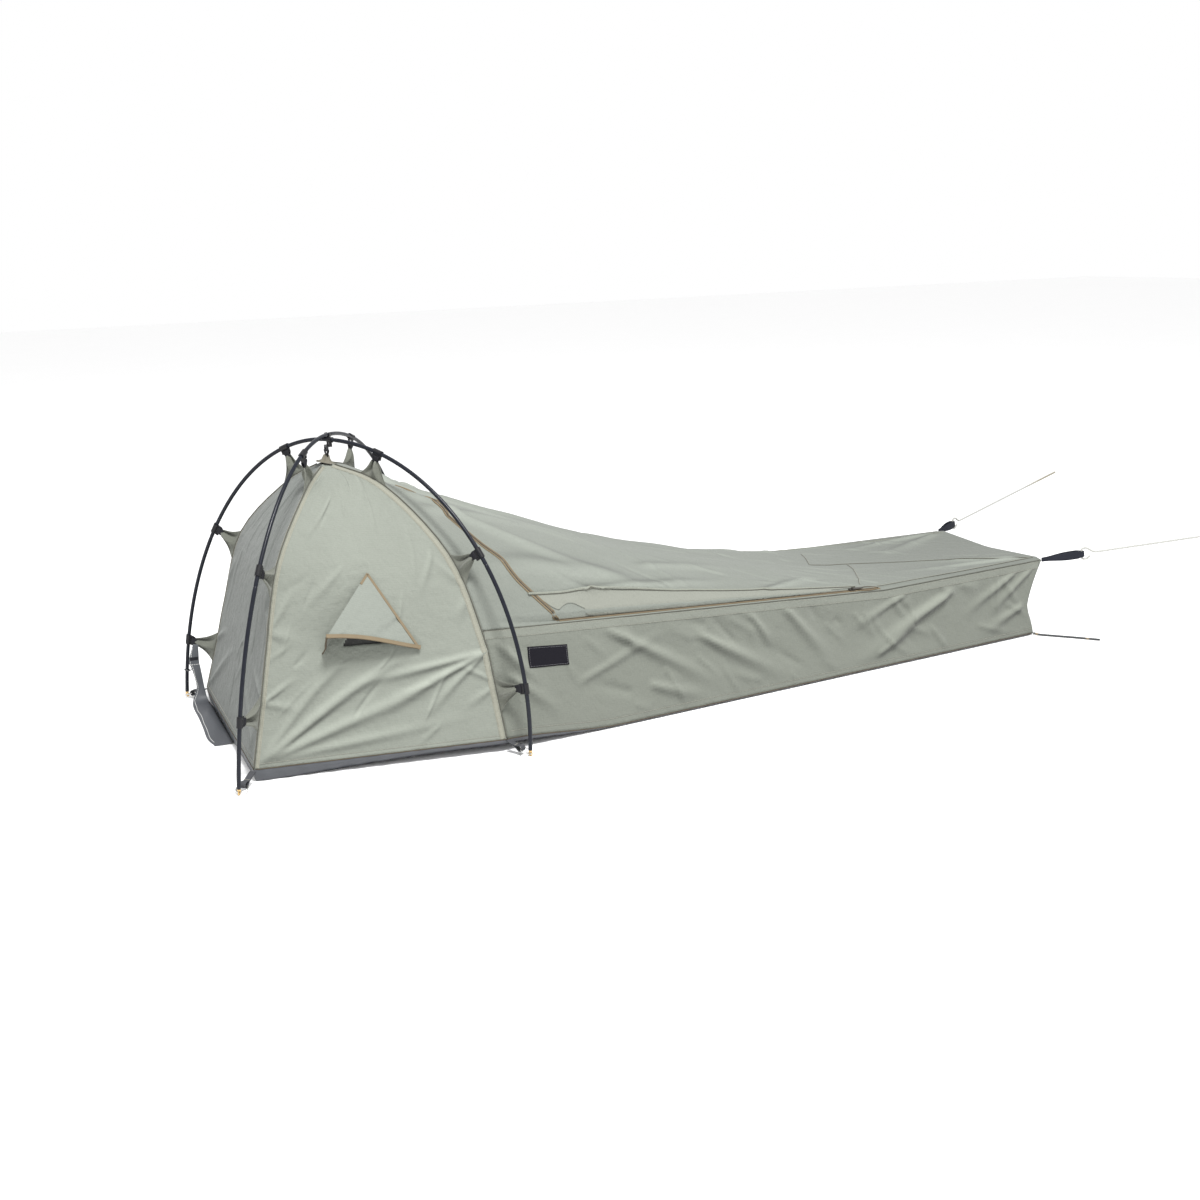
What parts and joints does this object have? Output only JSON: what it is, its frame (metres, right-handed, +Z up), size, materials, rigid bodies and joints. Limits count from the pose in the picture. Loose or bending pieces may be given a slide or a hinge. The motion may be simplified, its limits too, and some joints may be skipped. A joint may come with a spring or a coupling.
{
  "type": "camping tent",
  "caption": "Low one-person canvas tent hung from two crossed arched poles at its head, with a vent hood, a long zip door and roped foot end.",
  "frame": {"origin": "underside of the floor, on the tent's middle line, halfway between the head feet and the foot end's top edge", "axes": "+X from head to foot, +Y to the far side, +Z up"},
  "size_m": [2.9482, 0.9645, 0.6948],
  "materials": {
    "canvas": "sage green ripstop canvas, matt",
    "clip_plastic": "black moulded plastic",
    "webbing": "black woven webbing",
    "pole_coat": "black glossy coat",
    "pin_brass": "turned, slightly dull",
    "ring_steel": "bright wire",
    "floor_cloth": "coated floor cloth with a soft shine",
    "vent_net": "fine black net",
    "zip_tape": "tan zip tape and brown teeth",
    "zip_metal": "dark coated metal",
    "hook_loop": "black hook-and-loop cloth",
    "white_rope": "white twisted rope",
    "dark_cord": "dark flecked cord"
  },
  "bodies": {
    "tent": {"corner_seam_far_head": "canvas", "corner_seam_far_mid": "canvas", "corner_seam_near_head": "canvas", "corner_seam_near_mid": "canvas", "corner_strap_far_head": "webbing", "corner_strap_far_mid": "webbing", "corner_strap_near_head": "webbing", "corner_strap_near_mid": "webbing", "crossing_clip": "clip_plastic", "crossing_strap": "webbing", "door_zip": "zip_tape", "far_head_panel": "canvas", "far_head_pole_section_1": "pole_coat", "far_head_pole_section_2": "pole_coat", "far_head_pole_section_3": "pole_coat", "far_head_pole_section_4": "pole_coat", "flap_tie": "dark_cord", "floor_corner_flap": "floor_cloth", "floor_tub": "floor_cloth", "foot_loop_far": "webbing", "foot_loop_near": "webbing", "guy_rope_far": "white_rope", "guy_rope_near": "white_rope", "head_end_panel": "canvas", "hook_and_loop_patch": "hook_loop", "near_head_panel": "canvas", "near_head_pole_section_1": "pole_coat", "near_head_pole_section_2": "pole_coat", "near_head_pole_section_3": "pole_coat", "near_head_pole_section_4": "pole_coat", "peg_cord_far": "dark_cord", "peg_cord_near": "dark_cord", "pole_clip_far_head_high": "clip_plastic", "pole_clip_far_head_low": "clip_plastic", "pole_clip_far_head_middle": "clip_plastic", "pole_clip_far_mid_high": "clip_plastic", "pole_clip_far_mid_low": "clip_plastic", "pole_clip_far_mid_middle": "clip_plastic", "pole_clip_near_head_high": "clip_plastic", "pole_clip_near_head_low": "clip_plastic", "pole_clip_near_head_middle": "clip_plastic", "pole_clip_near_mid_high": "clip_plastic", "pole_clip_near_mid_low": "clip_plastic", "pole_clip_near_mid_middle": "clip_plastic", "pole_pin_far_head": "pin_brass", "pole_pin_far_mid": "pin_brass", "pole_pin_near_head": "pin_brass", "pole_pin_near_mid": "pin_brass", "roof_panel": "canvas", "side_wall": "canvas", "vent_gusset": "canvas", "vent_mesh": "vent_net"},
    "ring_far_head": {"foot_ring_far_head": "ring_steel"},
    "ring_far_mid": {"foot_ring_far_mid": "ring_steel"},
    "ring_near_head": {"foot_ring_near_head": "ring_steel"},
    "ring_near_mid": {"foot_ring_near_mid": "ring_steel"},
    "hood": {"vent_hood": "canvas"},
    "pull": {"zip_pull": "zip_metal"},
    "slider": {"zip_slider": "zip_metal"}
  },
  "joints": [
    {"name": "ring_near_head_swing", "type": "hinge", "parent": "tent", "child": "ring_near_head", "pos_m": [-1.11618, -0.36254, 0.01016], "axis": [0.5878, 0.7428, 0.3204], "range_deg": [-12, 12]},
    {"name": "ring_near_mid_swing", "type": "hinge", "parent": "tent", "child": "ring_near_mid", "pos_m": [-0.50634, -0.44483, 0.01075], "axis": [-0.5416, 0.7574, 0.3647], "range_deg": [-12, 12]},
    {"name": "ring_far_head_swing", "type": "hinge", "parent": "tent", "child": "ring_far_head", "pos_m": [-1.11618, 0.36254, 0.01016], "axis": [0.5878, -0.7428, 0.3204], "range_deg": [-12, 12]},
    {"name": "ring_far_mid_swing", "type": "hinge", "parent": "tent", "child": "ring_far_mid", "pos_m": [-0.50633, 0.44483, 0.01075], "axis": [-0.5416, -0.7574, 0.3647], "range_deg": [-12, 12]},
    {"name": "zip_slider_travel", "type": "slide", "parent": "tent", "child": "slider", "axis": [0.9955, 0.07, -0.0639], "range_m": [-0.8217, 0.0763]},
    {"name": "zip_pull_swing", "type": "hinge", "parent": "slider", "child": "pull", "pos_m": [0.47551, -0.26313, 0.21469], "axis": [0.0539, -0.9728, -0.2254], "range_deg": [0, 160]},
    {"name": "vent_hood_fold", "type": "hinge", "parent": "tent", "child": "hood", "pos_m": [-0.79032, -0.2674, 0.4181], "axis": [0.4338, -0.3549, -0.8282], "range_deg": [0, 14], "deforming": ["vent_gusset"]}
  ]
}
